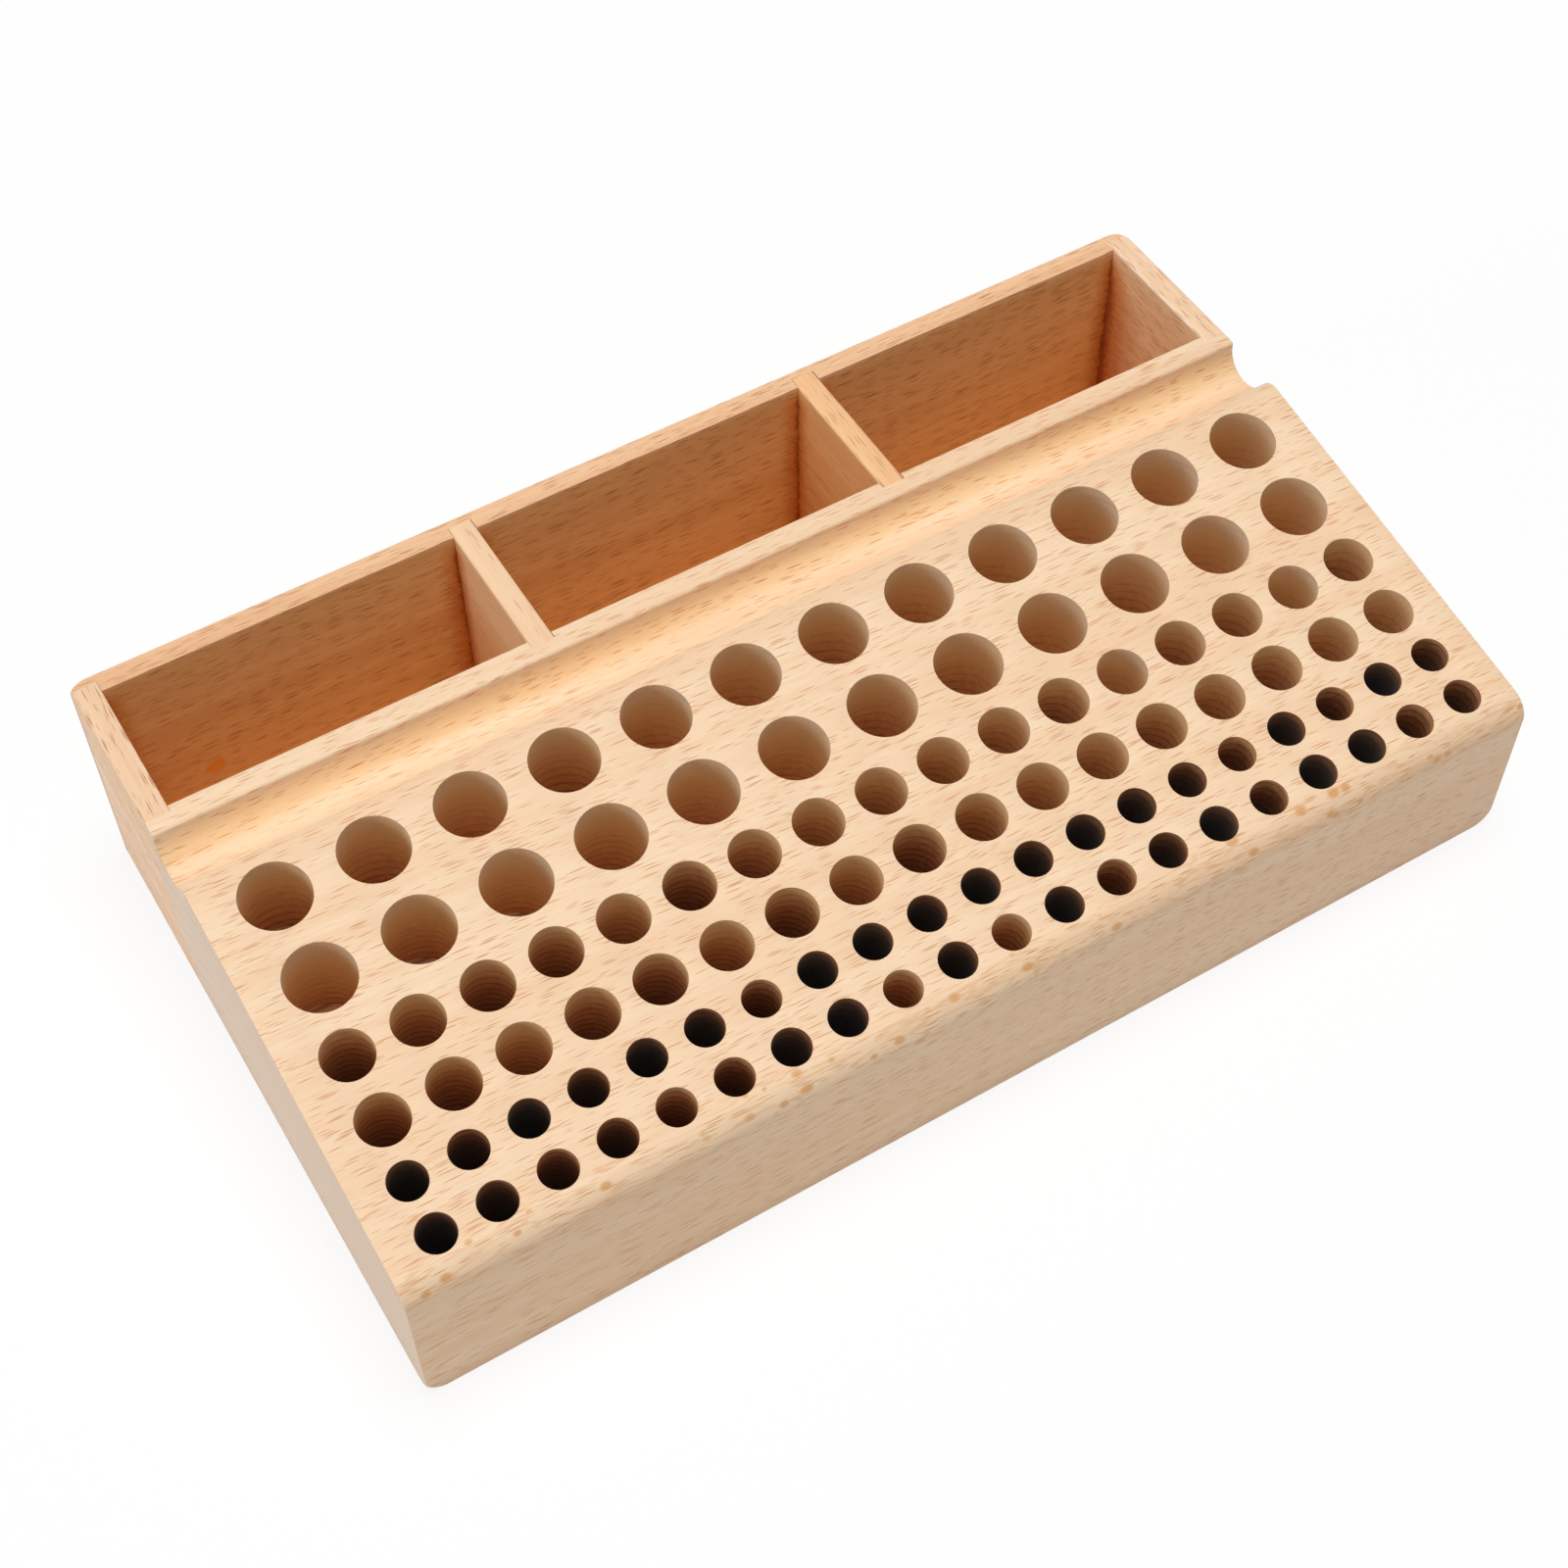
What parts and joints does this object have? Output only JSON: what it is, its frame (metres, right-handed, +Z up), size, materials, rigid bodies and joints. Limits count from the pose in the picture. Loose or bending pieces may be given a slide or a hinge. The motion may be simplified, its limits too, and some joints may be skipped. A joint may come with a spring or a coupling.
{
  "type": "tool holder block",
  "caption": "Sloped wooden block drilled with rows of round holes for upright hand tools, with a pen groove behind them and a divided tray joined along its back.",
  "frame": {"origin": "middle of the footprint, on the underside", "axes": "+X along the length, to the right seen from the front; +Y from the sloped front to the tray; +Z up"},
  "size_m": [0.26, 0.1488, 0.057],
  "materials": {
    "block_beech": "sanded, bare or thinly waxed",
    "end_beech": "sanded, bare or thinly waxed",
    "rear_beech": "sanded, bare or thinly waxed",
    "left_divider_beech": "sanded, bare or thinly waxed",
    "right_divider_beech": "sanded, bare or thinly waxed",
    "floor_beech": "sanded, bare or thinly waxed"
  },
  "bodies": {
    "root": {"tool_block": "block_beech", "tray_left_end": "end_beech", "tray_right_end": "end_beech", "tray_rear": "rear_beech", "divider_left": "left_divider_beech", "divider_right": "right_divider_beech", "tray_floor": "floor_beech"}
  },
  "joints": []
}
